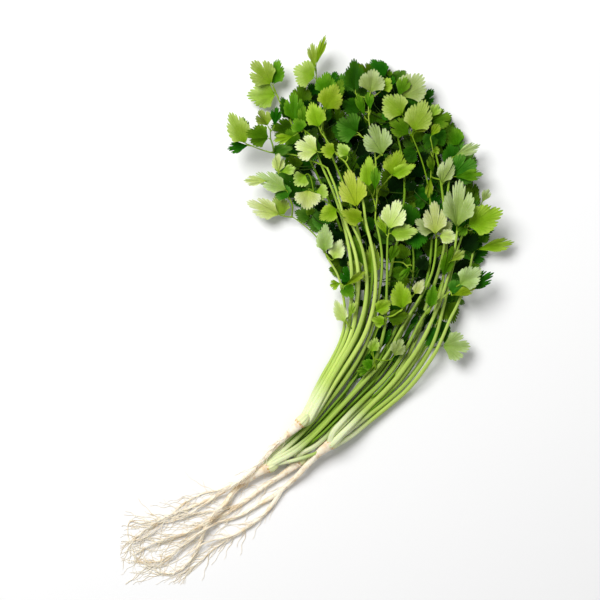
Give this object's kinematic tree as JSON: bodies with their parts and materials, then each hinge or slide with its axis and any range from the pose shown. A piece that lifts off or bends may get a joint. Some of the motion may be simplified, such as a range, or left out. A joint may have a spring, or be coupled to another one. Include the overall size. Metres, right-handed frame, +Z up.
{
  "type": "coriander bunch",
  "caption": "Bunch of fresh coriander lying on its side, with feathery leaves, slender stems and creamy roots still on, as pulled from the ground.",
  "frame": {"origin": "middle of the bunch's plan, on the surface it lies on", "axes": "+Y along the bunch from the roots to the leaf tips, +X to the right seen from above, +Z up"},
  "size_m": [0.2884, 0.4034, 0.041],
  "materials": {
    "leaf_cream": "thin creamy green leaf with paler veins, soft sheen",
    "leaf_deep": "thin deep green leaf with paler veins, soft sheen",
    "leaf_green": "thin mid green leaf with paler veins, soft sheen",
    "leaf_lime": "thin yellow green leaf with paler veins, soft sheen",
    "leaf_olive": "thin olive green leaf with paler veins, soft sheen",
    "leaf_pale": "thin pale green leaf with paler veins, soft sheen",
    "leaf_silver": "thin silvery green leaf with paler veins, soft sheen",
    "leaf_yellow": "thin bright yellow green leaf with paler veins, soft sheen",
    "root": "creamy white skin with fine tan rings, dry and matt",
    "stem": "smooth ribbed green skin, paler towards the crown, soft sheen"
  },
  "bodies": {
    "root": {"leaf_a1": "leaf_cream", "leaf_a1_low": "leaf_lime", "leaf_a1_top": "leaf_cream", "leaf_a2": "leaf_pale", "leaf_a2_top": "leaf_deep", "leaf_a3": "leaf_cream", "leaf_a4": "leaf_cream", "leaf_a5": "leaf_lime", "leaf_b1": "leaf_silver", "leaf_b2": "leaf_cream", "leaf_b3": "leaf_cream", "leaf_b4": "leaf_silver", "leaf_b5": "leaf_yellow", "leaf_b6": "leaf_lime", "leaf_b7": "leaf_pale", "leaf_c1": "leaf_silver", "leaf_c2": "leaf_silver", "leaf_c2_low": "leaf_pale", "leaf_c3": "leaf_silver", "leaf_c4": "leaf_deep", "leaf_c5": "leaf_lime", "leaf_c6": "leaf_lime", "leaf_c7": "leaf_pale", "leaf_centre_low": "leaf_olive", "leaf_centre_top": "leaf_green", "leaf_d1": "leaf_deep", "leaf_d2": "leaf_pale", "leaf_d2_twig": "leaf_lime", "leaf_d3": "leaf_green", "leaf_left_low": "leaf_pale", "leaf_low_middle": "leaf_cream", "leaf_low_small": "leaf_lime", "leaf_middle": "leaf_lime", "leaf_middle_top": "leaf_silver", "root_a": "root", "root_b": "root", "root_c": "root", "root_d": "root", "stem_a1": "stem", "stem_a2": "stem", "stem_a3": "stem", "stem_a4": "stem", "stem_a5": "stem", "stem_b1": "stem", "stem_b2": "stem", "stem_b3": "stem", "stem_b4": "stem", "stem_b5": "stem", "stem_b6": "stem", "stem_b7": "stem", "stem_c1": "stem", "stem_c2": "stem", "stem_c3": "stem", "stem_c4": "stem", "stem_c5": "stem", "stem_c6": "stem", "stem_c7": "stem", "stem_d1": "stem", "stem_d2": "stem", "stem_d3": "stem"}
  },
  "joints": []
}
